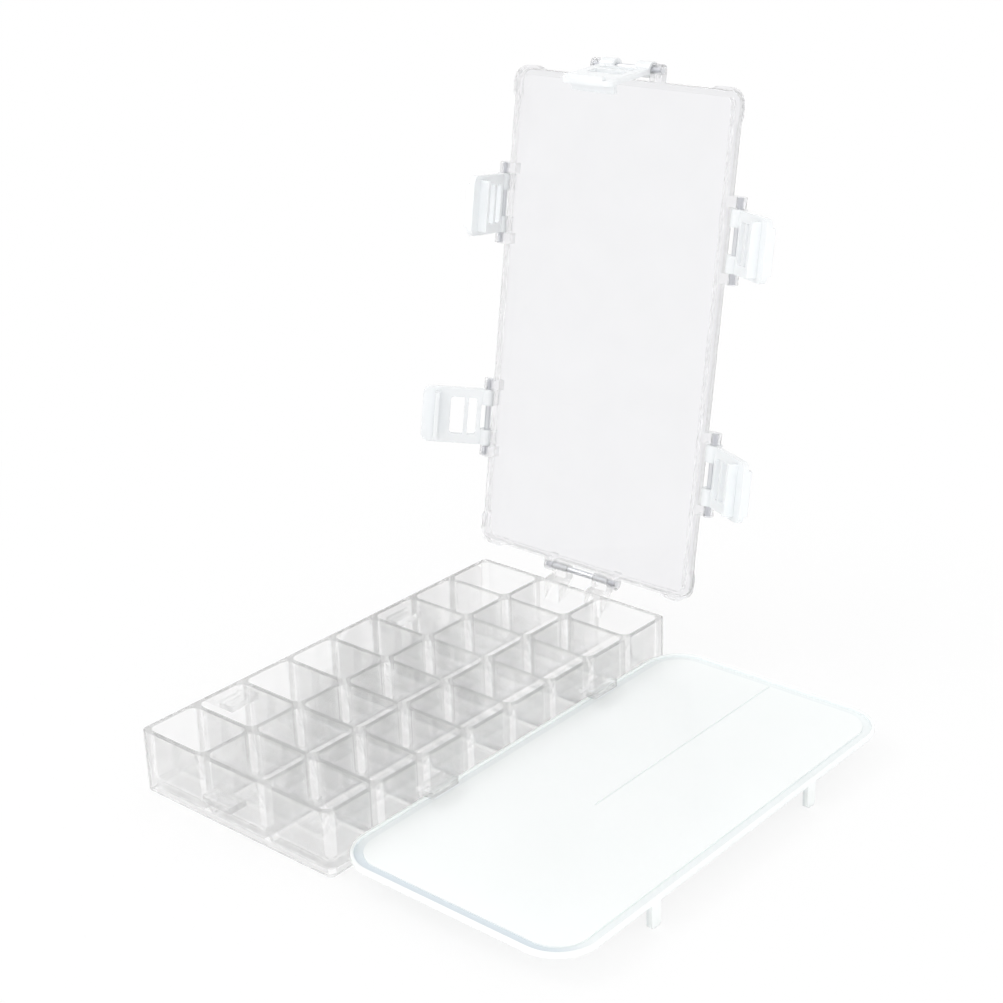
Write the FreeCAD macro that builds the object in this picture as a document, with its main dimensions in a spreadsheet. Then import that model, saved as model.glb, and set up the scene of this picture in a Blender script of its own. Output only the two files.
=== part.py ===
# Bobbin box: a compartment tray with a hinged clear lid, five swinging latches and a loose inner cover.
# Millimetres. X is across the tray, Y runs from the front wall to the hinge, Z is up.
# The origin is the middle of the tray's underside. The lid is drawn closed, then turned open about its pin.

import FreeCAD, Part
import Sketcher
import math
import os

Vector = FreeCAD.Vector
Placement = FreeCAD.Placement
Rotation = FreeCAD.Rotation

# Driving dimensions, one named cell each. Angles are in degrees.
SIZES = {
    # Tray and its compartments
    "tray_width": 88.0,
    "tray_length": 174.5,
    "tray_height": 23.0,
    "tray_corner": 2.0,
    "tray_wall": 1.8,
    "divider": 1.8,
    "columns": 3,
    "rows": 8,
    "cell_corner": 3.0,
    "floor_round": 2.6,
    "floor_thickness": 1.4,
    "foot_height": 2.0,
    "foot_wall": 1.8,
    "foot_round": 0.6,
    "groove_radius": 1.8,
    "rim_round": 0.45,
    # Catches on the tray's walls, one under each latch
    "catch_width": 13.5,
    "catch_reach": 7.0,
    "catch_thickness": 2.2,
    "catch_corner": 1.2,
    "catch_clearance": 0.35,
    # Hinge between the tray and the lid
    "hinge_reach": 2.5,
    "hinge_rise": 1.92,
    "hinge_pin_radius": 1.2,
    "hinge_knuckle_radius": 2.2,
    "hinge_knuckle_width": 7.0,
    "hinge_middle_gap": 12.6,
    "hinge_side_gap": 0.3,
    "hinge_ear_width": 3.3,
    "hinge_ear_radius": 2.4,
    "arm_depth": 9.4,
    "arm_drop": 0.6,
    "arm_bend": 3.9,
    # Lid
    "lid_gap": 1.0,
    "lid_overhang": 5.3,
    "lid_overhang_rear": 3.95,
    "lid_depth": 5.0,
    "lid_panel": 1.7,
    "lid_wall": 2.4,
    "lid_corner": 5.0,
    "lid_round": 1.2,
    "lid_lip_round": 0.4,
    "guard_length": 14.0,
    "guard_proud": 1.1,
    "guard_height": 3.4,
    "lid_open": 99.07,
    # Latches, their ears on the lid and their pins
    "latch_reach": 3.9,
    "latch_rise": 2.55,
    "latch_width": 22.3,
    "latch_thickness": 2.0,
    "latch_corner": 3.0,
    "latch_foot_gap": 0.55,
    "latch_knuckle_radius": 2.9,
    "latch_knuckle_width": 6.2,
    "latch_bar": 1.7,
    "window_end": 15.0,
    "window_width": 14.8,
    "window_corner": 1.2,
    "window_bar": 1.6,
    "window_bar_place": 8.0,
    "rib_from_end": 6.5,
    "rib_thickness": 1.8,
    "rib_height": 3.5,
    "rib_length": 19.0,
    "grip_thickness": 2.0,
    "grip_height": 1.3,
    "ear_width": 4.0,
    "ear_gap": 0.25,
    "ear_radius": 2.4,
    "latch_pin_radius": 1.2,
    "pin_recess": 0.2,
    "pin_run_clearance": 0.06,
    "pin_seat_clearance": 0.02,
    "side_latch_spacing": 84.3,
    "side_latch_shift": 0.55,
    "latch_in": 12.0,
    "left_rear_swing": 47.6,
    "right_front_swing": 57.0,
    "right_rear_swing": 60.0,
    # Inner cover, standing on its legs beside the tray
    "cover_clearance": 0.6,
    "cover_corner": 15.0,
    "cover_thickness": 1.2,
    "bead_width": 1.1,
    "bead_height": 0.5,
    "bead_round": 0.25,
    "cover_groove_width": 3.0,
    "cover_groove_depth": 0.5,
    "score_width": 0.7,
    "score_depth": 0.25,
    "score_length": 101.0,
    "leg_thickness": 2.0,
    "leg_width": 4.6,
    "leg_round": 1.1,
    "leg_spacing": 85.0,
    "leg_shift": -4.0,
    "leg_clearance": 0.05,
    "cover_gap": 0.6,
    "cover_shift": 0.9,
}

# How closely an edge has to lie to a height or a wall to be picked for rounding
NEAR = 1e-3

doc = FreeCAD.newDocument("bobbin_box")
sheet = doc.addObject("Spreadsheet::Sheet", "sizes")
for row, (alias, number) in enumerate(SIZES.items(), start=1):
    sheet.set(f"A{row}", alias)
    sheet.set(f"B{row}", str(number))
    sheet.setAlias(f"B{row}", alias)
doc.recompute()


def cell(alias):
    """The expression that reads one cell of the sheet."""
    return f"sizes.{alias}"


def size(expression):
    """The number that an expression over the sheet gives."""
    return float(sheet.evalExpression(expression))


# Expressions that several pieces share
CELL_WIDTH = "((sizes.tray_width - 2 * sizes.tray_wall - (sizes.columns - 1) * sizes.divider) / sizes.columns)"
CELL_LENGTH = "((sizes.tray_length - 2 * sizes.tray_wall - (sizes.rows - 1) * sizes.divider) / sizes.rows)"
PITCH_X = f"({CELL_WIDTH} + sizes.divider)"
PITCH_Y = f"({CELL_LENGTH} + sizes.divider)"
CELL_FLOOR = "(sizes.foot_height + sizes.floor_thickness)"
LID_WIDTH = "(sizes.tray_width + 2 * sizes.lid_overhang)"
LID_LENGTH = "(sizes.tray_length + sizes.lid_overhang + sizes.lid_overhang_rear)"
LID_MIDDLE = "((sizes.lid_overhang_rear - sizes.lid_overhang) / 2)"
RIM_PLANE = "(sizes.tray_height + sizes.lid_gap)"
HINGE_Y = "(sizes.tray_length / 2 + sizes.lid_overhang_rear + sizes.hinge_reach)"
HINGE_Z = f"({RIM_PLANE} + sizes.hinge_rise)"
HINGE_EAR_START = "(sizes.hinge_middle_gap / 2 + sizes.hinge_knuckle_width + sizes.hinge_side_gap)"
HINGE_PIN_LENGTH = f"(2 * ({HINGE_EAR_START} + sizes.hinge_ear_width - sizes.pin_recess))"
LATCH_OUT = "(sizes.lid_overhang + sizes.latch_reach)"
LATCH_Z = f"({RIM_PLANE} + sizes.latch_rise)"
LATCH_LENGTH = f"({LATCH_Z} - sizes.latch_foot_gap)"
LATCH_PIN_LENGTH = "(sizes.latch_width + 2 * (sizes.ear_gap + sizes.ear_width - sizes.pin_recess))"
COVER_WIDTH = f"({LID_WIDTH} - 2 * sizes.lid_wall - 2 * sizes.cover_clearance)"
COVER_LENGTH = f"({LID_LENGTH} - 2 * sizes.lid_wall - 2 * sizes.cover_clearance)"

# A catch's underside clears the bar below the latch's window when the latch is pressed home.
latched = math.radians(size(cell("latch_in")))
bar_below_pin = size(cell("window_end")) * math.cos(latched)
bar_below_pin -= size(cell("latch_thickness")) / 2 * math.sin(latched)
catch_bottom = size(LATCH_Z) - bar_below_pin + size(cell("catch_clearance"))
catch_top = catch_bottom + size(cell("catch_thickness"))

# The cover's legs end just above the catches when it lies on the tray's rim.
leg_height = size(cell("tray_height")) - catch_top - size(cell("leg_clearance"))

# Turning the closed lid open about its hinge pin
hinge_point = Vector(0, size(HINGE_Y), size(HINGE_Z))
X_AXIS = Vector(1, 0, 0)
Z_AXIS = Vector(0, 0, 1)
along_x = Rotation(Vector(0, 1, 0), 90)
open_lid = Placement(Vector(), Rotation(X_AXIS, -size(cell("lid_open"))), hinge_point)

# The latch stations: the wall's half width, the place along the wall, the turn of the wall and the swing.
# A station's own frame has its pin along X, outwards along -Y and up along Z.
side_out = size(cell("tray_width")) / 2
front_out = size(cell("tray_length")) / 2
half_spacing = size(cell("side_latch_spacing")) / 2
rear_place = size(cell("side_latch_shift")) + half_spacing
front_place = size(cell("side_latch_shift")) - half_spacing
pressed_home = -size(cell("latch_in"))
STATIONS = {
    "front": (front_out, 0.0, 0, pressed_home),
    "left_front": (side_out, -front_place, -90, pressed_home),
    "left_rear": (side_out, -rear_place, -90, size(cell("left_rear_swing"))),
    "right_front": (side_out, front_place, 90, size(cell("right_front_swing"))),
    "right_rear": (side_out, rear_place, 90, size(cell("right_rear_swing"))),
}


def station_point(wall_out, along, turn, further_out, height):
    """A placement at a station, so far outside the tray's wall and so high, facing out of that wall."""
    facing = Rotation(Z_AXIS, turn)
    return Placement(facing.multVec(Vector(along, -(wall_out + further_out), 0)) + Vector(0, 0, height), facing)


def origin_feature(body, role):
    """One of a body's own origin planes or axes."""
    return next(item for item in body.Origin.OriginFeatures if item.Role == role)


def new_sketch(body, name, plane="XY_Plane", offset=Placement()):
    """A sketch on one of the body's origin planes, moved by an offset in that plane's own frame."""
    sketch = body.newObject("Sketcher::SketchObject", name)
    sketch.AttachmentSupport = [(origin_feature(body, plane), "")]
    sketch.MapMode = "FlatFace"
    sketch.AttachmentOffset = offset
    return sketch


def bind(sketch, constraint, expression):
    """Adds a dimension to a sketch and ties it to an expression over the sheet."""
    index = sketch.addConstraint(constraint)
    sketch.setExpression(f"Constraints[{index}]", expression)


def draw_polygon(sketch, points):
    """A closed outline whose corners are pairs of expressions, each measured from the sketch's origin."""
    corners = [Vector(size(across), size(up), 0) for across, up in points]
    first = sketch.GeometryCount
    count = len(corners)
    for index, corner in enumerate(corners):
        sketch.addGeometry(Part.LineSegment(corner, corners[(index + 1) % count]), False)
    for index in range(count):
        following = first + (index + 1) % count
        sketch.addConstraint(Sketcher.Constraint("Coincident", first + index, 2, following, 1))
    for index, (across, up) in enumerate(points):
        line = first + index
        bind(sketch, Sketcher.Constraint("DistanceX", -1, 1, line, 1, corners[index].x), across)
        bind(sketch, Sketcher.Constraint("DistanceY", -1, 1, line, 1, corners[index].y), up)


def draw_eye(sketch, points, hole_radius):
    """An outline whose last corner goes back to the first by a half circle, with a round hole at its centre."""
    corners = [Vector(size(across), size(up), 0) for across, up in points]
    first = sketch.GeometryCount
    last = len(corners) - 1
    for start, end in zip(corners, corners[1:]):
        sketch.addGeometry(Part.LineSegment(start, end), False)
    centre = (corners[0] + corners[last]) * 0.5
    radius = (corners[0] - centre).Length
    top = centre + Vector(0, radius, 0)
    arc = sketch.addGeometry(Part.Arc(corners[last], top, corners[0]), False)
    hole = sketch.addGeometry(Part.Circle(centre, Z_AXIS, size(hole_radius)), False)
    for index in range(last - 1):
        sketch.addConstraint(Sketcher.Constraint("Coincident", first + index, 2, first + index + 1, 1))
    for index, (across, up) in enumerate(points):
        line, end = (first + index, 1) if index < last else (first + last - 1, 2)
        bind(sketch, Sketcher.Constraint("DistanceX", -1, 1, line, end, corners[index].x), across)
        bind(sketch, Sketcher.Constraint("DistanceY", -1, 1, line, end, corners[index].y), up)
    sketch.addConstraint(Sketcher.Constraint("Coincident", first + last - 1, 2, arc, 1))
    sketch.addConstraint(Sketcher.Constraint("Coincident", first, 1, arc, 2))
    sketch.addConstraint(Sketcher.Constraint("Symmetric", first, 1, first + last - 1, 2, arc, 3))
    sketch.addConstraint(Sketcher.Constraint("Coincident", hole, 3, arc, 3))
    bind(sketch, Sketcher.Constraint("Radius", hole, size(hole_radius)), hole_radius)


def draw_rounded_rectangle(sketch, width, length, radius, middle=Vector()):
    """A rounded rectangle about a point of the sketch, with its sizes given as expressions."""
    half_x = size(width) / 2
    half_y = size(length) / 2
    corner = size(radius)
    first = sketch.GeometryCount
    centres = ((1, 1), (-1, 1), (-1, -1), (1, -1))
    for quarter, (side_x, side_y) in enumerate(centres):
        centre = middle + Vector(side_x * (half_x - corner), side_y * (half_y - corner), 0)
        start = quarter * math.pi / 2
        circle = Part.Circle(centre, Z_AXIS, corner)
        sketch.addGeometry(Part.ArcOfCircle(circle, start, start + math.pi / 2), False)
    for quarter in range(4):
        ahead = (quarter + 1) % 4
        start = sketch.Geometry[first + quarter].EndPoint
        end = sketch.Geometry[first + ahead].StartPoint
        sketch.addGeometry(Part.LineSegment(start, end), False)
    for quarter in range(4):
        arc = first + quarter
        line = first + 4 + quarter
        ahead = first + (quarter + 1) % 4
        sketch.addConstraint(Sketcher.Constraint("Tangent", arc, 2, line, 1))
        sketch.addConstraint(Sketcher.Constraint("Tangent", line, 2, ahead, 1))
        direction = "Horizontal" if quarter % 2 == 0 else "Vertical"
        sketch.addConstraint(Sketcher.Constraint(direction, line))
    for quarter in range(3):
        sketch.addConstraint(Sketcher.Constraint("Equal", first + quarter, first + quarter + 1))
    bind(sketch, Sketcher.Constraint("Radius", first, corner), radius)
    top, left, bottom, right = range(first + 4, first + 8)
    for line, kind, from_middle, offset in (
        (right, "DistanceX", f"{width} / 2", middle.x),
        (left, "DistanceX", f"-{width} / 2", middle.x),
        (top, "DistanceY", f"{length} / 2", middle.y),
        (bottom, "DistanceY", f"-{length} / 2", middle.y),
    ):
        place = f"{offset} + {from_middle}"
        bind(sketch, Sketcher.Constraint(kind, -1, 1, line, 1, size(place)), place)


def pad(body, name, sketch, length):
    """Extrudes a sketch along its plane's normal."""
    feature = body.newObject("PartDesign::Pad", name)
    feature.Profile = sketch
    feature.setExpression("Length", length)
    return feature


def pocket(body, name, sketch, length, upwards=False):
    """Cuts a sketch into the body, against its plane's normal or along it."""
    feature = body.newObject("PartDesign::Pocket", name)
    feature.Profile = sketch
    feature.setExpression("Length", length)
    feature.Reversed = upwards
    return feature


def round_edges(body, name, radius, chosen):
    """Rounds every edge of the body that a test picks out."""
    doc.recompute()
    base = body.Tip
    edges = [f"Edge{number}" for number, edge in enumerate(base.Shape.Edges, start=1) if chosen(edge)]
    feature = body.newObject("PartDesign::Fillet", name)
    feature.Base = (base, edges)
    feature.setExpression("Radius", radius)
    doc.recompute()
    return feature


def at_height(height):
    """A test for edges that lie level at one height."""

    def lies_there(edge):
        box = edge.BoundBox
        return abs(box.ZMin - height) < NEAR and abs(box.ZMax - height) < NEAR

    return lies_there


def primitive(body, kind, name, placement, **sizes):
    """One of the body's own boxes or cylinders, with its sizes tied to the sheet."""
    feature = body.newObject(f"PartDesign::{kind}", name)
    for key, expression in sizes.items():
        feature.setExpression(key, expression)
    feature.Placement = placement
    return feature


def linear_pattern(body, name, originals, axis, length, occurrences):
    """Repeats features along one of the body's own axes."""
    feature = body.newObject("PartDesign::LinearPattern", name)
    feature.Originals = originals
    feature.Direction = (origin_feature(body, axis), [""])
    feature.setExpression("Length", length)
    feature.setExpression("Occurrences", occurrences)
    return feature


def add_compartments(body):
    """Cuts the grid of compartments from the top and rounds their floors and the rim."""
    corner_x = -size(f"{PITCH_X} * (sizes.columns - 1) / 2")
    corner_y = -size(f"{PITCH_Y} * (sizes.rows - 1) / 2")
    place = Placement(Vector(corner_x, corner_y, size(cell("tray_height"))), Rotation())
    outline = new_sketch(body, "compartment_outline", offset=place)
    draw_rounded_rectangle(outline, CELL_WIDTH, CELL_LENGTH, cell("cell_corner"))
    first = pocket(body, "first_compartment", outline, f"sizes.tray_height - {CELL_FLOOR}")
    doc.recompute()
    grid = body.newObject("PartDesign::MultiTransform", "compartment_grid")
    grid.Originals = [first]
    across = linear_pattern(body, "across", [], "X_Axis", f"{PITCH_X} * (sizes.columns - 1)", cell("columns"))
    back = linear_pattern(body, "front_to_back", [], "Y_Axis", f"{PITCH_Y} * (sizes.rows - 1)", cell("rows"))
    grid.Transformations = [across, back]
    body.Tip = grid
    round_edges(body, "compartment_floors", cell("floor_round"), at_height(size(CELL_FLOOR)))
    round_edges(body, "rim_edges", cell("rim_round"), at_height(size(cell("tray_height"))))


def add_underside(body):
    """Hollows the underside inside its foot and runs a half-round groove under every divider."""
    outline = new_sketch(body, "underside_outline")
    inner_width = "(sizes.tray_width - 2 * sizes.foot_wall)"
    inner_length = "(sizes.tray_length - 2 * sizes.foot_wall)"
    draw_rounded_rectangle(outline, inner_width, inner_length, cell("tray_corner"))
    pocket(body, "underside", outline, cell("foot_height"), upwards=True)
    foot_height = size(cell("foot_height"))
    first_x = -size(f"{PITCH_X} * (sizes.columns - 2) / 2")
    first_y = -size(f"{PITCH_Y} * (sizes.rows - 2) / 2")
    along_y = Rotation(X_AXIS, -90)
    cross_start = Placement(Vector(-size(inner_width) / 2, first_y, foot_height), along_x)
    long_start = Placement(Vector(first_x, -size(inner_length) / 2, foot_height), along_y)
    kind = "SubtractiveCylinder"
    radius = cell("groove_radius")
    cross = primitive(body, kind, "cross_groove", cross_start, Radius=radius, Height=inner_width)
    doc.recompute()
    crosses = linear_pattern(
        body, "cross_grooves", [cross], "Y_Axis", f"{PITCH_Y} * (sizes.rows - 2)", "sizes.rows - 1"
    )
    body.Tip = crosses
    doc.recompute()
    lengthwise = primitive(body, kind, "long_groove", long_start, Radius=radius, Height=inner_length)
    doc.recompute()
    lengths = linear_pattern(
        body, "long_grooves", [lengthwise], "X_Axis", f"{PITCH_X} * (sizes.columns - 2)", "sizes.columns - 1"
    )
    body.Tip = lengths
    doc.recompute()


def add_catches(body):
    """A flat shelf on the wall under each latch, rooted in the wall's thickness, all in one sketch."""
    root = "(sizes.tray_wall / 2)"
    depth = f"(sizes.catch_reach + {root})"
    outline = new_sketch(body, "catch_outlines", offset=Placement(Vector(0, 0, catch_bottom), Rotation()))
    for wall_out, along, turn, _ in STATIONS.values():
        middle = station_point(wall_out, along, turn, size(f"{depth} / 2 - {root}"), 0).Base
        along_wall = (cell("catch_width"), depth)
        width, length = along_wall if turn == 0 else along_wall[::-1]
        draw_rounded_rectangle(outline, width, length, cell("catch_corner"), middle)
    pad(body, "catches", outline, cell("catch_thickness"))


def add_hinge_arms(body):
    """Two arms on the rear wall, each ending in a knuckle round the hinge pin."""
    root = "(sizes.tray_length / 2 - sizes.tray_wall / 2)"
    arm_top = "(sizes.tray_height - sizes.arm_drop)"
    near = f"({HINGE_Y} - sizes.hinge_knuckle_radius)"
    far = f"({HINGE_Y} + sizes.hinge_knuckle_radius)"
    profile = (
        (near, HINGE_Z),
        (near, f"{RIM_PLANE} - sizes.arm_drop"),
        (root, arm_top),
        (root, f"{arm_top} - sizes.arm_depth"),
        (far, f"{HINGE_Z} - sizes.arm_bend"),
        (far, HINGE_Z),
    )
    start = Placement(Vector(0, 0, size("sizes.hinge_middle_gap / 2")), Rotation())
    outline = new_sketch(body, "arm_outline", "YZ_Plane", start)
    draw_eye(outline, profile, "sizes.hinge_pin_radius + sizes.pin_run_clearance")
    arm = pad(body, "arm_right", outline, cell("hinge_knuckle_width"))
    doc.recompute()
    mirror = body.newObject("PartDesign::Mirrored", "arm_left")
    mirror.Originals = [arm]
    mirror.MirrorPlane = (origin_feature(body, "YZ_Plane"), [""])
    body.Tip = mirror


def make_tray():
    """The moulded tray: compartments, underside, catches and hinge arms in one piece."""
    body = doc.addObject("PartDesign::Body", "tray")
    outline = new_sketch(body, "tray_outline")
    draw_rounded_rectangle(outline, cell("tray_width"), cell("tray_length"), cell("tray_corner"))
    pad(body, "tray_block", outline, cell("tray_height"))
    round_edges(body, "foot_edges", cell("foot_round"), at_height(0))
    add_compartments(body)
    add_underside(body)
    add_catches(body)
    add_hinge_arms(body)
    return body


def add_lid_block(body, centre):
    """The lid's outline at full depth, with its top edge rounded."""
    outline = new_sketch(body, "lid_outline", offset=centre)
    draw_rounded_rectangle(outline, LID_WIDTH, LID_LENGTH, cell("lid_corner"))
    pad(body, "lid_block", outline, cell("lid_depth"))
    round_edges(body, "lid_top_edges", cell("lid_round"), at_height(size(f"{RIM_PLANE} + sizes.lid_depth")))


def add_guards(body, centre):
    """A thicker guard round each corner of the rim."""
    side = "(sizes.guard_length + sizes.guard_proud)"
    in_x = size(f"{LID_WIDTH} / 2 + sizes.guard_proud - {side} / 2")
    in_y = size(f"{LID_LENGTH} / 2 + sizes.guard_proud - {side} / 2")
    for name, side_x, side_y in (("a", 1, 1), ("b", -1, 1), ("c", -1, -1), ("d", 1, -1)):
        place = Placement(centre.Base + Vector(side_x * in_x, side_y * in_y, 0), Rotation())
        guard = new_sketch(body, f"guard_{name}_outline", offset=place)
        draw_rounded_rectangle(guard, side, side, "(sizes.lid_corner + sizes.guard_proud)")
        pad(body, f"guard_{name}", guard, cell("guard_height"))


def hollow_lid(body, centre):
    """Leaves the lid's panel and rim, and eases the rim's inner edge."""
    hollow = new_sketch(body, "lid_hollow_outline", offset=centre)
    inner_width = f"({LID_WIDTH} - 2 * sizes.lid_wall)"
    inner_length = f"({LID_LENGTH} - 2 * sizes.lid_wall)"
    draw_rounded_rectangle(hollow, inner_width, inner_length, "(sizes.lid_corner - sizes.lid_wall)")
    pocket(body, "lid_hollow", hollow, "sizes.lid_depth - sizes.lid_panel", upwards=True)
    inner_edge = size(f"{inner_width} / 2") + NEAR
    inner_end = size(f"{inner_length} / 2") + NEAR
    middle = centre.Base.y
    level = at_height(centre.Base.z)

    def on_inner_lip(edge):
        box = edge.BoundBox
        within = max(abs(box.XMin), abs(box.XMax)) < inner_edge
        within = within and max(abs(box.YMin - middle), abs(box.YMax - middle)) < inner_end
        return within and level(edge)

    round_edges(body, "lid_lip_edges", cell("lid_lip_round"), on_inner_lip)


def add_ear(body, name, placement, reach, radius, width):
    """An ear round a pin, joined to the wall behind it. Its own frame has the pin along X and out along -Y."""
    turned = Placement(Vector(), along_x)
    primitive(body, "AdditiveCylinder", f"{name}_eye", placement.multiply(turned), Radius=radius, Height=width)
    corner = Placement(Vector(0, 0, -size(radius)), Rotation())
    primitive(
        body,
        "AdditiveBox",
        f"{name}_root",
        placement.multiply(corner),
        Length=width,
        Width=reach,
        Height=f"2 * {radius}",
    )


def add_hinge_ears(body):
    """Two ears on the lid's hinge end, outside the tray's knuckles, and the hole that holds the pin."""
    start = size(HINGE_EAR_START)
    width = size(cell("hinge_ear_width"))
    reach = "(sizes.hinge_reach + sizes.lid_wall / 2)"
    backwards = Rotation(Z_AXIS, 180)
    for side, at_x in (("left", -start), ("right", start + width)):
        place = Placement(hinge_point + X_AXIS * at_x, backwards)
        add_ear(body, f"hinge_ear_{side}", place, reach, cell("hinge_ear_radius"), cell("hinge_ear_width"))
    primitive(
        body,
        "SubtractiveCylinder",
        "hinge_seat",
        Placement(hinge_point - X_AXIS * (start + width), along_x),
        Radius="sizes.hinge_pin_radius + sizes.pin_seat_clearance",
        Height=f"2 * ({HINGE_EAR_START} + sizes.hinge_ear_width)",
    )


def latch_pivot(name):
    """The placement of a station's pin on the closed lid."""
    wall_out, along, turn, _ = STATIONS[name]
    return station_point(wall_out, along, turn, size(LATCH_OUT), size(LATCH_Z))


def add_latch_ears(body):
    """A pair of ears at every latch station, and the hole that holds the latch's pin."""
    inner = size("sizes.latch_width / 2 + sizes.ear_gap")
    outer = size("sizes.latch_width / 2 + sizes.ear_gap + sizes.ear_width")
    reach = "(sizes.latch_reach + sizes.lid_wall / 2)"
    for name in STATIONS:
        pivot = latch_pivot(name)
        for side, start in (("near", -outer), ("far", inner)):
            place = pivot.multiply(Placement(X_AXIS * start, Rotation()))
            add_ear(body, f"ear_{name}_{side}", place, reach, cell("ear_radius"), cell("ear_width"))
        primitive(
            body,
            "SubtractiveCylinder",
            f"pin_seat_{name}",
            pivot.multiply(Placement(X_AXIS * -outer, along_x)),
            Radius="sizes.latch_pin_radius + sizes.pin_seat_clearance",
            Height="sizes.latch_width + 2 * (sizes.ear_gap + sizes.ear_width)",
        )


def make_lid():
    """The lid: a shallow clear moulding with ears for the hinge and for five latches."""
    body = doc.addObject("PartDesign::Body", "lid")
    centre = Placement(Vector(0, size(LID_MIDDLE), size(RIM_PLANE)), Rotation())
    add_lid_block(body, centre)
    add_hinge_ears(body)
    add_latch_ears(body)
    add_guards(body, centre)
    hollow_lid(body, centre)
    body.Placement = open_lid
    return body


def make_latch(name):
    """One latch. Its own frame has the pin along X, the flap hanging along -Z and outwards along -Y."""
    body = doc.addObject("PartDesign::Body", f"latch_{name}")
    half = "sizes.latch_width / 2"
    gap = "(sizes.latch_width / 2 - sizes.latch_knuckle_width)"
    notch = "sizes.latch_knuckle_radius"
    mid_plane = Placement(Vector(0, 0, -size("sizes.latch_thickness / 2")), Rotation())
    outline = new_sketch(body, f"{name}_flap_outline", "XZ_Plane", mid_plane)
    draw_polygon(
        outline,
        (
            (f"-{half}", "0"),
            (f"-{gap}", "0"),
            (f"-{gap}", f"-{notch}"),
            (gap, f"-{notch}"),
            (gap, "0"),
            (half, "0"),
            (half, f"-{LATCH_LENGTH}"),
            (f"-{half}", f"-{LATCH_LENGTH}"),
        ),
    )
    pad(body, f"{name}_flap", outline, cell("latch_thickness"))
    tip = -size(LATCH_LENGTH)

    def at_tip_corner(edge):
        box = edge.BoundBox
        return abs(box.ZMin - tip) < NEAR and box.XLength < NEAR and box.ZLength < NEAR

    round_edges(body, f"{name}_tip_corners", cell("latch_corner"), at_tip_corner)
    window_start = "(sizes.latch_knuckle_radius + sizes.latch_bar)"
    window_length = f"(sizes.window_end - {window_start})"
    middle = -size(f"{window_start} + {window_length} / 2")
    behind = Placement(Vector(0, middle, size("sizes.latch_thickness / 2")), Rotation())
    window = new_sketch(body, f"{name}_window_outline", "XZ_Plane", behind)
    draw_rounded_rectangle(window, cell("window_width"), window_length, cell("window_corner"))
    pocket(body, f"{name}_window", window, cell("latch_thickness"))
    bar_bottom = -size("sizes.window_bar_place + sizes.window_bar")
    bar_corner = Vector(-size("sizes.window_width / 2"), -size("sizes.latch_thickness / 2"), bar_bottom)
    primitive(
        body,
        "AdditiveBox",
        f"{name}_window_bar",
        Placement(bar_corner, Rotation()),
        Length=cell("window_width"),
        Width=cell("latch_thickness"),
        Height=cell("window_bar"),
    )
    half_width = size(half)
    for side, start in (("near", -half_width), ("far", size(gap))):
        primitive(
            body,
            "AdditiveCylinder",
            f"{name}_knuckle_{side}",
            Placement(X_AXIS * start, along_x),
            Radius=cell("latch_knuckle_radius"),
            Height=cell("latch_knuckle_width"),
        )
    rib_bottom = tip + size("sizes.rib_from_end - sizes.rib_thickness")
    primitive(
        body,
        "AdditiveBox",
        f"{name}_rib",
        Placement(Vector(-size("sizes.rib_length / 2"), 0, rib_bottom), Rotation()),
        Length=cell("rib_length"),
        Width="sizes.latch_thickness / 2 + sizes.rib_height",
        Height=cell("rib_thickness"),
    )
    grip_length = "(sizes.latch_width - 2 * sizes.latch_corner)"
    grip_reach = "(sizes.latch_thickness / 2 + sizes.grip_height)"
    primitive(
        body,
        "AdditiveBox",
        f"{name}_grip",
        Placement(Vector(-size(f"{grip_length} / 2"), -size(grip_reach), tip), Rotation()),
        Length=grip_length,
        Width=grip_reach,
        Height=cell("grip_thickness"),
    )
    primitive(
        body,
        "SubtractiveCylinder",
        f"{name}_bore",
        Placement(X_AXIS * -half_width, along_x),
        Radius="sizes.latch_pin_radius + sizes.pin_run_clearance",
        Height=cell("latch_width"),
    )
    swing = Placement(Vector(), Rotation(X_AXIS, -STATIONS[name][3]))
    body.Placement = open_lid.multiply(latch_pivot(name)).multiply(swing)
    return body


def make_pin(name, placement, radius, length):
    """A plain steel pin along X of its placement, centred there."""
    pin = doc.addObject("Part::Cylinder", name)
    pin.setExpression("Radius", radius)
    pin.setExpression("Height", length)
    pin.Placement = placement.multiply(Placement(X_AXIS * (-size(length) / 2), along_x))
    return pin


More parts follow.
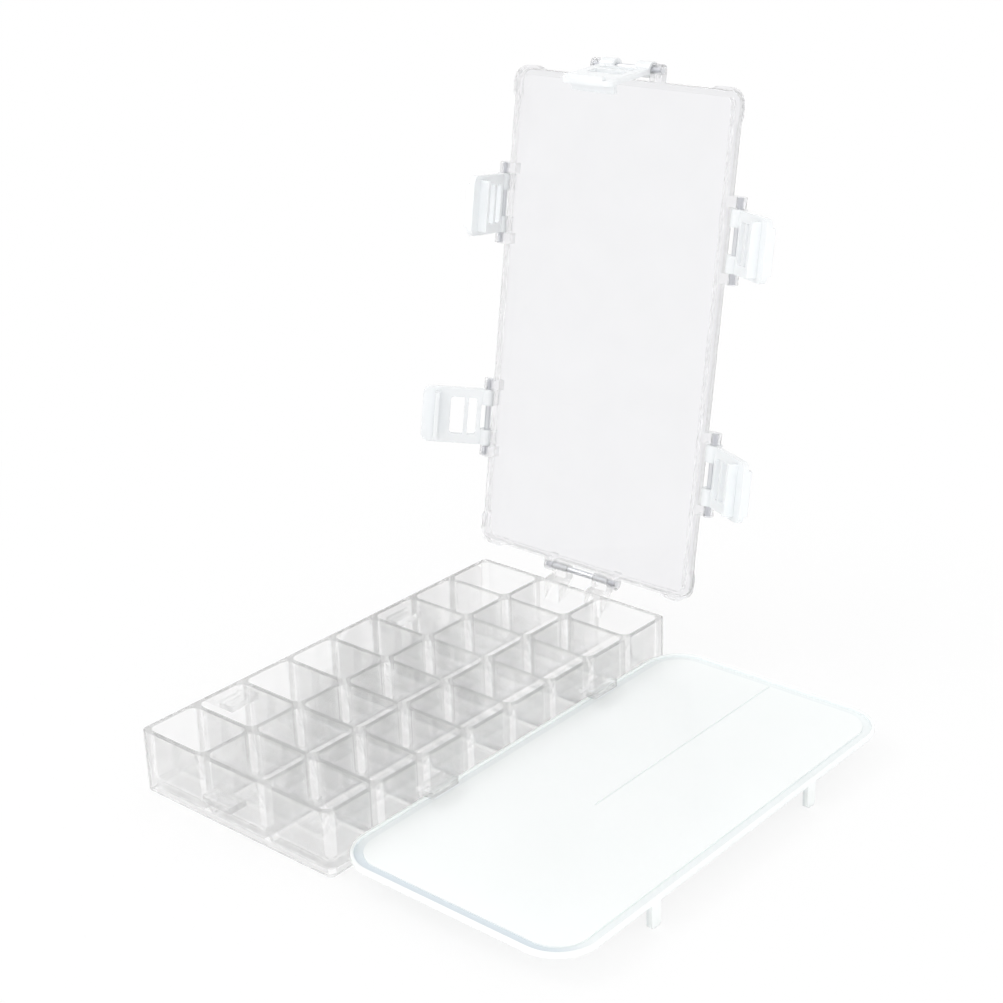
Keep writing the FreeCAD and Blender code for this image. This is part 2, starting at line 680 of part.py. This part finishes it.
def make_cover():
    """The inner cover: a plate with a raised bead, a groove inside it, a scored centre line and four legs."""
    body = doc.addObject("PartDesign::Body", "inner_cover")
    top = leg_height + size(cell("cover_thickness"))
    upright = Rotation()
    outline = new_sketch(body, "cover_outline", offset=Placement(Vector(0, 0, leg_height), upright))
    draw_rounded_rectangle(outline, COVER_WIDTH, COVER_LENGTH, cell("cover_corner"))
    pad(body, "cover_plate", outline, cell("cover_thickness"))

    def inset(sketch, distance):
        width = f"({COVER_WIDTH} - 2 * {distance})"
        length = f"({COVER_LENGTH} - 2 * {distance})"
        draw_rounded_rectangle(sketch, width, length, f"(sizes.cover_corner - {distance})")

    on_top = Placement(Vector(0, 0, top), upright)
    bead = new_sketch(body, "bead_outline", offset=on_top)
    inset(bead, "0")
    inset(bead, cell("bead_width"))
    pad(body, "bead", bead, cell("bead_height"))
    round_edges(body, "bead_edges", cell("bead_round"), at_height(top + size(cell("bead_height"))))
    leg_top = leg_height + size(cell("cover_thickness")) / 2 + size(cell("leg_round")) / 2
    middle_z = leg_top / 2
    half_width = size(f"{COVER_WIDTH} / 2")
    thickness = size(cell("leg_thickness"))
    for side, start in (("left", -half_width), ("right", half_width - thickness)):
        for end, sign in (("front", -1), ("rear", 1)):
            along = size(cell("leg_shift")) + sign * size(cell("leg_spacing")) / 2
            place = Placement(Vector(along, middle_z, start), upright)
            leg = new_sketch(body, f"leg_{side}_{end}_outline", "YZ_Plane", place)
            draw_rounded_rectangle(leg, cell("leg_width"), str(leg_top), cell("leg_round"))
            pad(body, f"leg_{side}_{end}", leg, cell("leg_thickness"))
    groove = new_sketch(body, "cover_groove_outline", offset=on_top)
    inset(groove, cell("bead_width"))
    inset(groove, "(sizes.bead_width + sizes.cover_groove_width)")
    pocket(body, "cover_groove", groove, cell("cover_groove_depth"))
    score_end = size(f"{COVER_LENGTH} / 2 - sizes.bead_width - sizes.cover_groove_width")
    primitive(
        body,
        "SubtractiveBox",
        "centre_score",
        Placement(
            Vector(
                -size(cell("score_width")) / 2,
                score_end - size(cell("score_length")),
                top - size(cell("score_depth")),
            ),
            upright,
        ),
        Length=cell("score_width"),
        Width=cell("score_length"),
        Height="2 * sizes.score_depth",
    )
    beside = size(f"sizes.tray_width / 2 + sizes.cover_gap + {COVER_WIDTH} / 2")
    body.Placement = Placement(Vector(beside, size(cell("cover_shift")), 0), upright)
    return body


pieces = [make_tray(), make_lid()]
hinge_place = Placement(hinge_point, Rotation())
pieces.append(make_pin("hinge_pin", hinge_place, cell("hinge_pin_radius"), HINGE_PIN_LENGTH))
for station in STATIONS:
    pieces.append(make_latch(station))
    pin_place = open_lid.multiply(latch_pivot(station))
    pieces.append(make_pin(f"latch_pin_{station}", pin_place, cell("latch_pin_radius"), LATCH_PIN_LENGTH))
pieces.append(make_cover())
doc.recompute()

for item in doc.Objects:
    if "Invalid" in item.State or "Error" in item.State:
        raise RuntimeError(f"{item.Name} failed: {item.State}")
for piece in pieces:
    shape = piece.Shape
    if shape.isNull() or not shape.isValid() or len(shape.Solids) != 1:
        raise RuntimeError(f"{piece.Label} is not one valid solid")

os.makedirs("parts", exist_ok=True)
for piece in pieces:
    piece.Shape.exportStep(f"parts/{piece.Label}.step")
    box = piece.Shape.BoundBox
    low = f"{box.XMin:.2f} {box.YMin:.2f} {box.ZMin:.2f}"
    high = f"{box.XMax:.2f} {box.YMax:.2f} {box.ZMax:.2f}"
    print(f"{piece.Label}: {piece.Shape.Volume:.1f} mm3, from {low} to {high}")
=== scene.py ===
# %% [markdown]
# # A clear bobbin box
# The box is a moulded tray with rows of compartments, a clear hinged lid, five swinging latches on steel
# pins and a loose inner cover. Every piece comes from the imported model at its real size, so this lesson
# dresses the pieces: it gives each one the plastic or steel that it is made of, and lights them like a
# catalogue picture.

# %% Load the model
import math
import bpy
from mathutils import Matrix, Vector


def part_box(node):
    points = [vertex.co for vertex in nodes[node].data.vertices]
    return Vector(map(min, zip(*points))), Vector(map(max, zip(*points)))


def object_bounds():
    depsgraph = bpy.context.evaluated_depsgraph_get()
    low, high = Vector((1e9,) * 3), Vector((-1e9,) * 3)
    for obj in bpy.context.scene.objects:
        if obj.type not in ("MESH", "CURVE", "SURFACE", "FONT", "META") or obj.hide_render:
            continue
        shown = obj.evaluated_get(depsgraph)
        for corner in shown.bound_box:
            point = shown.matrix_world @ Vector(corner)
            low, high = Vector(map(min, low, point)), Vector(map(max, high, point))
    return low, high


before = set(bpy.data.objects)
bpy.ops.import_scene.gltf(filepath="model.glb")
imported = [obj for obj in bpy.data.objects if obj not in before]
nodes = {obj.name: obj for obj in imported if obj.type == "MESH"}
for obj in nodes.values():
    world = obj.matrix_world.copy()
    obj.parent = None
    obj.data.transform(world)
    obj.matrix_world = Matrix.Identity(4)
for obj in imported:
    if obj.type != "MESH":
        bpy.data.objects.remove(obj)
cad_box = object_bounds()
print("pieces:", sorted(nodes))

# %% [markdown]
# ## Colours and nodes
# Colours are written as the hex values that a screen shows, and one function turns them into the linear
# values that a shader works in. One small function adds a node: each input is given a fixed value or
# another node's output, so every finish below reads from top to bottom as it is wired.

# %% Colour and node helpers
MM = 0.001
# A Mix node's sockets for numbers and colours share their names, so the colour sockets go by place.
COLOUR_MIX = {"data_type": "RGBA"}
FIRST_COLOUR = 6
SECOND_COLOUR = 7
MIXED_COLOUR = 2


def linear(hex_colour):
    """The linear colour, with alpha, of an sRGB hex value."""
    channels = [int(hex_colour[start : start + 2], 16) / 255 for start in (1, 3, 5)]
    return [c / 12.92 if c <= 0.04045 else ((c + 0.055) / 1.055) ** 2.4 for c in channels] + [1.0]


def add_node(tree, kind, settings=None, inputs=None):
    """Adds a node, sets its properties, and fills its inputs with values or with other nodes' outputs."""
    node = tree.nodes.new(kind)
    for key, value in (settings or {}).items():
        setattr(node, key, value)
    for key, value in (inputs or {}).items():
        if isinstance(value, bpy.types.NodeSocket):
            tree.links.new(value, node.inputs[key])
        else:
            node.inputs[key].default_value = value
    return node


def new_finish(name):
    """An empty material and its node tree."""
    finish = bpy.data.materials.new(name)
    finish.use_nodes = True
    finish.node_tree.nodes.clear()
    return finish, finish.node_tree


print("white in linear values:", linear("#FFFFFF"))

# %% [markdown]
# ## Clear moulded plastic
# The tray and lid are crystal polystyrene, pressed into polished steel. The eye reads it by three things:
# light bends at every edge, the plastic takes a little light on the way, so a wall seen along its length
# looks greyer than one seen through, and the faces are never quite flat, because the plastic shrinks as it
# cools. A glass shader could do all of it, but at its full bend the edges turn black against white, while
# the real walls stay pale. So the bend is weaker than the plastic's own 1.59, and a share of the light goes
# straight on. On the tray a small share scatters on the faces, which evens out the grey where many walls
# stand behind each other. The grey along the walls is absorption inside the solid. The unevenness is a slow
# bump a few millimetres across, with faint rubbing marks in the gloss, which are drawn about a millimetre
# apart, coarser than real ones, so that they show. The finish can also paint a shade where walls are seen
# end on.

# %% Clear polystyrene for the tray and the lid
HAZE_SIZE = 14.0 * MM
RUB_SIZE = 0.9 * MM
RIPPLE_SIZE = 9.0 * MM
RIPPLE_HEIGHT = 0.11 * MM
RIPPLE_STRENGTH = 0.35
BEND = 1.32
POLISHED = 0.0
RUBBED = 0.03
SMOKE = "#BCBCBC"


def clear_polystyrene(name, deep, pale, solidity, smoke_density, clearness, painted_end_shade=None, painted_end_shade_colour=None):
    """Crystal polystyrene as moulded: bright, slightly uneven, greyer where walls are seen end on, partly as
    painted shade.
    """
    finish, tree = new_finish(name)
    place = add_node(tree, "ShaderNodeTexCoord").outputs["Object"]
    haze = add_node(
        tree, "ShaderNodeTexNoise", None, {"Vector": place, "Scale": 1 / HAZE_SIZE, "Detail": 3.0}
    )
    rubs = add_node(
        tree, "ShaderNodeTexNoise", None, {"Vector": place, "Scale": 1 / RUB_SIZE, "Detail": 5.0}
    )
    ripple = add_node(
        tree, "ShaderNodeTexNoise", None, {"Vector": place, "Scale": 1 / RIPPLE_SIZE, "Detail": 1.0}
    )
    colour = add_node(
        tree,
        "ShaderNodeMix",
        COLOUR_MIX,
        {"Factor": haze.outputs["Fac"], FIRST_COLOUR: linear(deep), SECOND_COLOUR: linear(pale)},
    ).outputs[MIXED_COLOUR]
    # A painted shade: a flat grey over the places where walls are seen end on.
    if painted_end_shade:
        colour = add_node(
            tree,
            "ShaderNodeMix",
            COLOUR_MIX,
            {"Factor": painted_end_shade(tree, place), FIRST_COLOUR: colour, SECOND_COLOUR: linear(painted_end_shade_colour)},
        ).outputs[MIXED_COLOUR]
    gloss = add_node(
        tree,
        "ShaderNodeMapRange",
        None,
        {"Value": rubs.outputs["Fac"], "To Min": POLISHED, "To Max": RUBBED},
    )
    bump = add_node(
        tree,
        "ShaderNodeBump",
        None,
        {"Height": ripple.outputs["Fac"], "Strength": RIPPLE_STRENGTH, "Distance": RIPPLE_HEIGHT},
    )
    shader = add_node(
        tree,
        "ShaderNodeBsdfPrincipled",
        None,
        {
            "Base Color": colour,
            "Roughness": gloss.outputs["Result"],
            "Normal": bump.outputs["Normal"],
            "Transmission Weight": clearness,
            "IOR": BEND,
            "Alpha": solidity,
        },
    )
    inside = add_node(
        tree, "ShaderNodeVolumeAbsorption", None, {"Color": linear(SMOKE), "Density": smoke_density}
    )
    add_node(
        tree,
        "ShaderNodeOutputMaterial",
        None,
        {"Surface": shader.outputs["BSDF"], "Volume": inside.outputs["Volume"]},
    )
    return finish


lid_plastic = clear_polystyrene(
    "lid_polystyrene", "#EBEBEE", "#F3F3F6", solidity=0.55, smoke_density=24.0, clearness=1.0
)
print("lid finish:", lid_plastic.name)

# %% [markdown]
# ## The tops of the tray's walls
# Light that enters the top of a wall runs down its whole height and little of it comes back, so the tops of
# the walls draw a grey grid over the tray. A few bounces of light in the render can't show all of that, so
# the tops get a painted shade, a flat grey. They are the faces that look up at the height of the rim.

# %% Tray finish with painted shade on the wall tops
WALL_TOP = 23.0 * MM
ROUNDED_DEPTH = 0.5 * MM
LOOKS_UP = 0.3


def tray_wall_tops_for_painted_shade(tree, place):
    """Where the tray's wall tops get painted shade: faces that look up at the height of the rim."""
    facing = add_node(tree, "ShaderNodeNewGeometry").outputs["Normal"]
    upwards = add_node(tree, "ShaderNodeSeparateXYZ", None, {"Vector": facing}).outputs["Z"]
    height = add_node(tree, "ShaderNodeSeparateXYZ", None, {"Vector": place}).outputs["Z"]
    looks_up = add_node(tree, "ShaderNodeMath", {"operation": "GREATER_THAN"}, {0: upwards, 1: LOOKS_UP})
    rim_middle = WALL_TOP - ROUNDED_DEPTH / 2
    at_rim = add_node(
        tree, "ShaderNodeMath", {"operation": "COMPARE"}, {0: height, 1: rim_middle, 2: ROUNDED_DEPTH}
    )
    tops = add_node(
        tree,
        "ShaderNodeMath",
        {"operation": "MULTIPLY"},
        {0: looks_up.outputs["Value"], 1: at_rim.outputs["Value"]},
    )
    return tops.outputs["Value"]


# The tray gets a painted shade, a flat grey, on the tops of its walls.
tray_plastic = clear_polystyrene(
    "tray_polystyrene",
    "#FBFBFB",
    "#FFFFFF",
    solidity=0.58,
    smoke_density=3.5,
    clearness=0.92,
    painted_end_shade=tray_wall_tops_for_painted_shade,
    painted_end_shade_colour="#B8B8B8",
)
print("tray finish:", tray_plastic.name)

# %% [markdown]
# ## Milky plastic
# The latches and the inner cover are moulded in a whitish polypropylene that lets light in but shows
# nothing behind it. It bends without breaking, which a snap latch needs. Light scatters inside it, so its
# colour is a pale blue-green white with soft shading, and the moulded skin has a low satin gloss with a
# very fine grain, which is drawn a little coarser than it is, so that it shows. Where the plastic is thin,
# less light comes back out of it and it looks darker, so the finish can be given a painted shade where a
# piece is thin, and the colour of that shade.

# %% Milky polypropylene
GRAIN_SIZE = 0.6 * MM
GRAIN_HEIGHT = 0.03 * MM
GRAIN_STRENGTH = 0.08
CLOUD_SIZE = 30.0 * MM
SCATTER_DEPTH = 1.5 * MM
SCATTER_SHARE = 0.5
POLYPROPYLENE_BEND = 1.49
SATIN = 0.13
DULL = 0.24


def milky_polypropylene(name, shade, light, clearness, painted_shade_places=None, painted_shade_colour=None):
    """Whitish polypropylene: light scatters in it, and its skin has a satin gloss."""
    finish, tree = new_finish(name)
    place = add_node(tree, "ShaderNodeTexCoord").outputs["Object"]
    cloud = add_node(
        tree, "ShaderNodeTexNoise", None, {"Vector": place, "Scale": 1 / CLOUD_SIZE, "Detail": 2.0}
    )
    grain = add_node(
        tree, "ShaderNodeTexNoise", None, {"Vector": place, "Scale": 1 / GRAIN_SIZE, "Detail": 4.0}
    )
    colour = add_node(
        tree,
        "ShaderNodeMix",
        COLOUR_MIX,
        {"Factor": cloud.outputs["Fac"], FIRST_COLOUR: linear(shade), SECOND_COLOUR: linear(light)},
    ).outputs[MIXED_COLOUR]
    # A painted shade where the plastic is thin: the shade's colour is mixed over the plastic's.
    if painted_shade_places:
        colour = add_node(
            tree,
            "ShaderNodeMix",
            COLOUR_MIX,
            {"Factor": painted_shade_places(tree, place), FIRST_COLOUR: colour, SECOND_COLOUR: linear(painted_shade_colour)},
        ).outputs[MIXED_COLOUR]
    gloss = add_node(
        tree, "ShaderNodeMapRange", None, {"Value": grain.outputs["Fac"], "To Min": SATIN, "To Max": DULL}
    )
    bump = add_node(
        tree,
        "ShaderNodeBump",
        None,
        {"Height": grain.outputs["Fac"], "Strength": GRAIN_STRENGTH, "Distance": GRAIN_HEIGHT},
    )
    shader = add_node(
        tree,
        "ShaderNodeBsdfPrincipled",
        None,
        {
            "Base Color": colour,
            "Roughness": gloss.outputs["Result"],
            "Normal": bump.outputs["Normal"],
            "Transmission Weight": clearness,
            "Subsurface Weight": SCATTER_SHARE,
            "Subsurface Scale": SCATTER_DEPTH,
            "Subsurface Radius": (1.0, 1.0, 1.0),
            "IOR": POLYPROPYLENE_BEND,
        },
    )
    add_node(tree, "ShaderNodeOutputMaterial", None, {"Surface": shader.outputs["BSDF"]})
    return finish


latch_plastic = milky_polypropylene("latch_polypropylene", "#F3F8FB", "#FAFDFF", clearness=0.08)
print("latch finish:", latch_plastic.name)

# %% [markdown]
# ## The cover's thin places and their painted shade
# A groove runs round the cover inside its bead, and a scored line runs down the middle of its rear half.
# Both are cut in the solid. The plastic that is left under them is thin, so they get a painted shade, darker
# and bluer than the plate, and strongest along the front. The groove follows the plate's rounded corners,
# so its place is found from the distance to the centres of the corners: past the straight part of a side,
# that distance runs square to it.

# %% Where the cover is thin and gets painted shade
COVER_CORNER = 15.0 * MM
BEAD_WIDTH = 1.1 * MM
GROOVE_WIDTH = 3.0 * MM
SCORE_WIDTH = 0.7 * MM
SCORE_LENGTH = 101.0 * MM
FRONT_SHARE = 1.0
ELSEWHERE_SHARE = 0.2
SCORE_SHARE = 0.25


def cover_painted_shade_places(tree, place):
    """Where the cover gets painted shade: in the groove inside its bead, along its scored line, and nowhere
    else.
    """
    low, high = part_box("inner_cover")
    middle = (low + high) / 2
    half = (high - low) / 2
    centred = {"Vector": place, "Location": (-middle.x, -middle.y, 0), "Scale": (1, 1, 0)}
    flat = add_node(tree, "ShaderNodeMapping", None, centred).outputs["Vector"]
    aside = add_node(tree, "ShaderNodeVectorMath", {"operation": "ABSOLUTE"}, {0: flat}).outputs["Vector"]
    corner_centre = (half.x - COVER_CORNER, half.y - COVER_CORNER, 0)
    past = add_node(tree, "ShaderNodeVectorMath", {"operation": "SUBTRACT"}, {0: aside, 1: corner_centre})
    outside = add_node(
        tree, "ShaderNodeVectorMath", {"operation": "MAXIMUM"}, {0: past.outputs["Vector"], 1: (0, 0, 0)}
    )
    distance = add_node(
        tree, "ShaderNodeVectorMath", {"operation": "LENGTH"}, {0: outside.outputs["Vector"]}
    ).outputs["Value"]
    groove_outer = COVER_CORNER - BEAD_WIDTH
    groove_inner = groove_outer - GROOVE_WIDTH
    within_bead = add_node(
        tree, "ShaderNodeMath", {"operation": "LESS_THAN"}, {0: distance, 1: groove_outer}
    )
    past_panel = add_node(
        tree, "ShaderNodeMath", {"operation": "GREATER_THAN"}, {0: distance, 1: groove_inner}
    )
    in_groove = add_node(
        tree,
        "ShaderNodeMath",
        {"operation": "MULTIPLY"},
        {0: within_bead.outputs["Value"], 1: past_panel.outputs["Value"]},
    )
    along = add_node(tree, "ShaderNodeSeparateXYZ", None, {"Vector": flat}).outputs["Y"]
    sideways = add_node(tree, "ShaderNodeSeparateXYZ", None, {"Vector": aside}).outputs["X"]
    # The painted shade is full along the front and weaker elsewhere.
    shade_towards_front = add_node(
        tree,
        "ShaderNodeMapRange",
        {"interpolation_type": "SMOOTHSTEP"},
        {
            "Value": along,
            "From Min": COVER_CORNER - half.y,
            "From Max": BEAD_WIDTH - half.y,
            "To Min": ELSEWHERE_SHARE,
            "To Max": FRONT_SHARE,
        },
    )
    groove_share = add_node(
        tree,
        "ShaderNodeMath",
        {"operation": "MULTIPLY"},
        {0: in_groove.outputs["Value"], 1: shade_towards_front.outputs["Result"]},
    )
    score_end = half.y - BEAD_WIDTH - GROOVE_WIDTH
    score_middle = score_end - SCORE_LENGTH / 2
    on_line = add_node(
        tree, "ShaderNodeMath", {"operation": "LESS_THAN"}, {0: sideways, 1: SCORE_WIDTH / 2}
    )
    on_length = add_node(
        tree, "ShaderNodeMath", {"operation": "COMPARE"}, {0: along, 1: score_middle, 2: SCORE_LENGTH / 2}
    )
    on_score = add_node(
        tree,
        "ShaderNodeMath",
        {"operation": "MULTIPLY"},
        {0: on_line.outputs["Value"], 1: on_length.outputs["Value"]},
    )
    score_share = add_node(
        tree, "ShaderNodeMath", {"operation": "MULTIPLY"}, {0: on_score.outputs["Value"], 1: SCORE_SHARE}
    )
    thin_place_shade = add_node(
        tree,
        "ShaderNodeMath",
        {"operation": "MAXIMUM"},
        {0: groove_share.outputs["Value"], 1: score_share.outputs["Value"]},
    )
    return thin_place_shade.outputs["Value"]


# The cover gets a painted shade in its groove and along its scored line.
cover_plastic = milky_polypropylene(
    "cover_polypropylene",
    "#F6FCFB",
    "#FAFEFD",
    clearness=0.0,
    painted_shade_places=cover_painted_shade_places,
    painted_shade_colour="#D6DEE4",
)
print("cover finish:", cover_plastic.name)

# %% [markdown]
# ## Drawn steel wire
# The pins are cut from bright steel wire, which is pulled through a die, so it carries fine lines along its
# length. A noise that is stretched along the wire gives them. They are drawn about a third of a millimetre
# apart, coarser than real ones, so that they show in the picture. The hinge pin and the front latch's pin
# lie across the box, and the side pins lie along the open lid, so there are two finishes with the noise
# stretched either way.

# %% Drawn steel for the pins
LINE_SPACING = 0.35 * MM
STRETCH = 25.0
BURNISHED = 0.22
SCRATCHED = 0.42
LID_LEAN = math.radians(9.07)
DARK_STEEL = "#D2D4D8"
BRIGHT_STEEL = "#ECEDEF"


def drawn_steel(name, scale, turn):
    """Bright steel wire with fine drawing lines in its colour and gloss."""
    finish, tree = new_finish(name)
    place = add_node(tree, "ShaderNodeTexCoord").outputs["Object"]
    stretched = add_node(
        tree,
        "ShaderNodeMapping",
        {"vector_type": "TEXTURE"},
        {"Vector": place, "Rotation": turn, "Scale": scale},
    )
    lines = add_node(
        tree,
        "ShaderNodeTexNoise",
        None,
        {"Vector": stretched.outputs["Vector"], "Scale": 1 / LINE_SPACING, "Detail": 2.0},
    )
    colour = add_node(
        tree,
        "ShaderNodeMix",
        COLOUR_MIX,
        {
            "Factor": lines.outputs["Fac"],
            FIRST_COLOUR: linear(DARK_STEEL),
            SECOND_COLOUR: linear(BRIGHT_STEEL),
        },
    )
    gloss = add_node(
        tree,
        "ShaderNodeMapRange",
        None,
        {"Value": lines.outputs["Fac"], "To Min": BURNISHED, "To Max": SCRATCHED},
    )
    shader = add_node(
        tree,
        "ShaderNodeBsdfPrincipled",
        None,
        {"Base Color": colour.outputs[MIXED_COLOUR], "Roughness": gloss.outputs["Result"], "Metallic": 1.0},
    )
    add_node(tree, "ShaderNodeOutputMaterial", None, {"Surface": shader.outputs["BSDF"]})
    return finish


cross_pin_steel = drawn_steel("cross_pin_drawn_steel", scale=(STRETCH, 1, 1), turn=(0, 0, 0))
side_pin_steel = drawn_steel("side_pin_drawn_steel", scale=(1, 1, STRETCH), turn=(-LID_LEAN, 0, 0))
print("steel finishes:", cross_pin_steel.name, side_pin_steel.name)

# %% [markdown]
# ## Dressing the pieces
# Each piece of the box is one moulding or one pin. The faces of a piece could have finishes of their own,
# but a moulding is the same plastic all through, so each piece gets a single one.

# %% Dress every piece
CROSS_PINS = ("hinge_pin", "latch_pin_front")
MOULDINGS = {"tray": tray_plastic, "lid": lid_plastic, "inner_cover": cover_plastic}

for name, piece in nodes.items():
    if name in CROSS_PINS:
        finish = cross_pin_steel
    elif name.startswith("latch_pin"):
        finish = side_pin_steel
    elif name.startswith("latch"):
        finish = latch_plastic
    else:
        finish = MOULDINGS[name]
    piece.data.materials.clear()
    piece.data.materials.append(finish)
    print(name, "is", finish.name)

# %% [markdown]
# ## Floor and white surroundings
# The picture is a white catalogue shot: a pale floor and white all round. A floor lit until it is white
# would drown the box in light. So the floor and the world show plain white to the camera, and to the rays
# that mirror or pass through something, while the light that they throw on the box stays lower. Near the
# box a share of the floor is ordinary white paint, which takes the box's shadow.

# %% Floor
FLOOR_SIZE = 6.0
FLOOR_DROP = 0.02 * MM
SHADOW_SHARE = 0.25
SHADOW_REACH = 0.35

bpy.ops.object.select_all(action="DESELECT")
bpy.ops.mesh.primitive_plane_add(size=FLOOR_SIZE, location=(0, 0, cad_box[0][2] - FLOOR_DROP))
floor = bpy.context.object
floor.name = "floor"
paint, tree = new_finish("white_floor_paint")
matt = add_node(tree, "ShaderNodeBsdfDiffuse", None, {"Color": linear("#FAFAFA")})
white = add_node(tree, "ShaderNodeEmission", None, {"Color": linear("#FFFFFF"), "Strength": 1.0})
place = add_node(tree, "ShaderNodeTexCoord").outputs["Object"]
away = add_node(tree, "ShaderNodeVectorMath", {"operation": "LENGTH"}, {0: place}).outputs["Value"]
whiteness = add_node(
    tree,
    "ShaderNodeMapRange",
    {"interpolation_type": "SMOOTHSTEP"},
    {"Value": away, "From Max": SHADOW_REACH, "To Min": 1 - SHADOW_SHARE},
)
path = add_node(tree, "ShaderNodeLightPath").outputs
seen_straight = add_node(
    tree,
    "ShaderNodeMath",
    {"operation": "MULTIPLY"},
    {0: path["Is Camera Ray"], 1: whiteness.outputs["Result"]},
)
seen_otherwise = add_node(
    tree,
    "ShaderNodeMath",
    {"operation": "MAXIMUM"},
    {0: path["Is Glossy Ray"], 1: path["Is Transmission Ray"]},
)
share = add_node(
    tree,
    "ShaderNodeMath",
    {"operation": "MAXIMUM"},
    {0: seen_straight.outputs["Value"], 1: seen_otherwise.outputs["Value"]},
)
mixed = add_node(
    tree,
    "ShaderNodeMixShader",
    None,
    {0: share.outputs["Value"], 1: matt.outputs["BSDF"], 2: white.outputs["Emission"]},
)
add_node(tree, "ShaderNodeOutputMaterial", None, {"Surface": mixed.outputs["Shader"]})
floor.data.materials.append(paint)
print("floor at", round(floor.location.z / MM, 2), "mm")

# %% [markdown]
# ## World
# The world is the white room round the box. A picture of a room could light it, but an even white is all
# that the box's surroundings show, and only its strength is chosen: a little under full for the light that
# falls on the pieces, so that the palest plastic stays short of plain white.

# %% World
WORLD_LIGHT = 0.86

world = bpy.data.worlds.new("white_studio")
bpy.context.scene.world = world
world.use_nodes = True
tree = world.node_tree
tree.nodes.clear()
path = add_node(tree, "ShaderNodeLightPath").outputs
mirrored = add_node(
    tree,
    "ShaderNodeMath",
    {"operation": "MAXIMUM"},
    {0: path["Is Glossy Ray"], 1: path["Is Transmission Ray"]},
)
shown = add_node(
    tree,
    "ShaderNodeMath",
    {"operation": "MAXIMUM"},
    {0: path["Is Camera Ray"], 1: mirrored.outputs["Value"]},
)
strength = add_node(
    tree, "ShaderNodeMapRange", None, {"Value": shown.outputs["Value"], "To Min": WORLD_LIGHT}
)
sky = add_node(
    tree, "ShaderNodeBackground", None, {"Color": linear("#FFFFFF"), "Strength": strength.outputs["Result"]}
)
add_node(tree, "ShaderNodeOutputWorld", None, {"Surface": sky.outputs["Background"]})
print("world light:", WORLD_LIGHT)

# %% [markdown]
# ## Lamps
# Two large square lamps give the shapes their soft shading: a key lamp from above on the left, and a low
# fill lamp from the front right, which lights the latches' faces without adding much to the cover that lies
# flat. Rays that pass through the clear pieces don't see the lamps, so that from behind no bright square
# shows through the lid. The fill lamp isn't mirrored either, because its square would stand in the lid's
# panel. The key lamp is, and it gives the rounded edges their highlights.

# %% Lamps
LAMP_SIDE = 0.9
KEY_PLACE = Vector((-0.9, -0.7, 1.4))
KEY_POWER = 6.5
FILL_PLACE = Vector((1.0, -1.0, 0.3))
FILL_POWER = 5.5

middle = (Vector(cad_box[0]) + Vector(cad_box[1])) / 2
lamps = (("key_lamp", KEY_PLACE, KEY_POWER, True), ("fill_lamp", FILL_PLACE, FILL_POWER, False))
for name, place, power, mirrored in lamps:
    towards_box = (-place).to_track_quat("-Z", "Y").to_euler()
    bpy.ops.object.light_add(type="AREA", location=middle + place, rotation=towards_box)
    lamp = bpy.context.object
    lamp.name = name
    lamp.data.size = LAMP_SIDE
    lamp.data.energy = power
    lamp.visible_transmission = False
    lamp.visible_glossy = mirrored
    print(name, power, "W")

# %% [markdown]
# ## Camera
# The camera stands to the right of the front wall and a little above the box, with a long lens and a slight
# roll. Its place follows from the direction that it looks from, its distance, and how far its axis passes
# from the origin, to the right and upwards.

# %% Camera
AZIMUTH = math.radians(41.15)
ELEVATION = math.radians(22.17)
ROLL = math.radians(-1.766)
DISTANCE = 670.3 * MM
AIM_RIGHT = 29.15 * MM
AIM_UP = 80.14 * MM
LENS = 67.83
SENSOR = 36.0

level = Vector((math.cos(AZIMUTH), math.sin(AZIMUTH), 0))
forwards = Vector((-math.sin(AZIMUTH), math.cos(AZIMUTH), 0))
back = Vector((0, 0, math.sin(ELEVATION))) - forwards * math.cos(ELEVATION)
upright = back.cross(level)
right = level * math.cos(ROLL) + upright * math.sin(ROLL)
up = upright * math.cos(ROLL) - level * math.sin(ROLL)
eye = right * AIM_RIGHT + up * AIM_UP + back * DISTANCE
bpy.ops.object.camera_add()
camera = bpy.context.object
camera.data.lens = LENS
camera.data.sensor_width = SENSOR
camera.matrix_world = Matrix.Translation(eye) @ Matrix((right, up, back)).transposed().to_4x4()
bpy.context.scene.camera = camera
bpy.context.scene.view_settings.view_transform = "Standard"
print("camera at", [round(c, 3) for c in eye])

# %% [markdown]
# ## Measure and finish
# The size of the imported model is written out in millimetres. The finishes change no shape.

# %% Measure and finish
print("size in mm:", [round((high - low) / MM, 1) for low, high in zip(*cad_box)])
